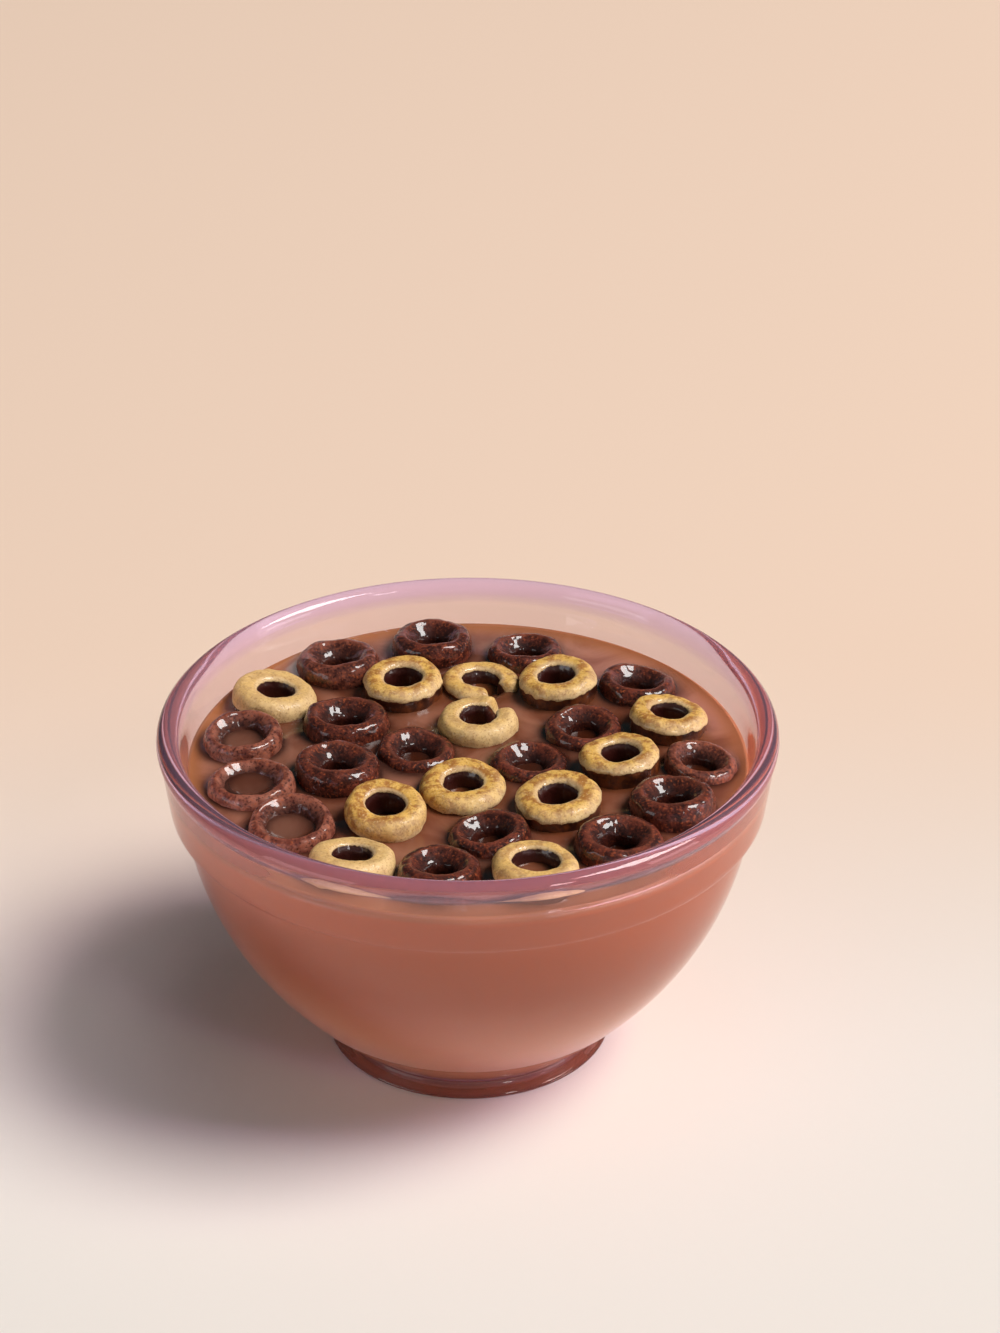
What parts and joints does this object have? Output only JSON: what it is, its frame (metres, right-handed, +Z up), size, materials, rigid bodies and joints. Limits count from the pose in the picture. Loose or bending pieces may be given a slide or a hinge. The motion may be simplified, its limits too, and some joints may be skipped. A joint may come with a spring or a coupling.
{
  "type": "bowl of cereal",
  "caption": "Small pink-tinted clear glass bowl on a foot, filled with chocolate milk in which cocoa and golden cereal rings float close together",
  "frame": {"origin": "middle of the foot, on the surface the bowl stands on", "axes": "+Z up through the middle of the bowl; the shown side faces -Y, with +X to its right"},
  "size_m": [0.09, 0.09, 0.0519],
  "materials": {
    "glass": "clear glass with a pink tint, polished",
    "chocolate_milk": "chocolate milk, an opaque glossy liquid",
    "cocoa_ring": "dark baked cocoa cereal, wet and glossy",
    "golden_ring": "toasted grain cereal, dry on its crown and wet below"
  },
  "bodies": {
    "root": {"bowl": "glass", "milk": "chocolate_milk", "ring_cocoa_01": "cocoa_ring", "ring_cocoa_02": "cocoa_ring", "ring_cocoa_03": "cocoa_ring", "ring_cocoa_04": "cocoa_ring", "ring_cocoa_05": "cocoa_ring", "ring_cocoa_06": "cocoa_ring", "ring_cocoa_07": "cocoa_ring", "ring_cocoa_08": "cocoa_ring", "ring_cocoa_09": "cocoa_ring", "ring_cocoa_10": "cocoa_ring", "ring_cocoa_11": "cocoa_ring", "ring_cocoa_12": "cocoa_ring", "ring_cocoa_13": "cocoa_ring", "ring_cocoa_14": "cocoa_ring", "ring_cocoa_15": "cocoa_ring", "ring_cocoa_16": "cocoa_ring", "ring_cocoa_17": "cocoa_ring", "ring_golden_01": "golden_ring", "ring_golden_02": "golden_ring", "ring_golden_03": "golden_ring", "ring_golden_04": "golden_ring", "ring_golden_05": "golden_ring", "ring_golden_06": "golden_ring", "ring_golden_07": "golden_ring", "ring_golden_08": "golden_ring", "ring_golden_09": "golden_ring", "ring_golden_10": "golden_ring", "ring_golden_11": "golden_ring", "ring_golden_12": "golden_ring"}
  },
  "joints": []
}
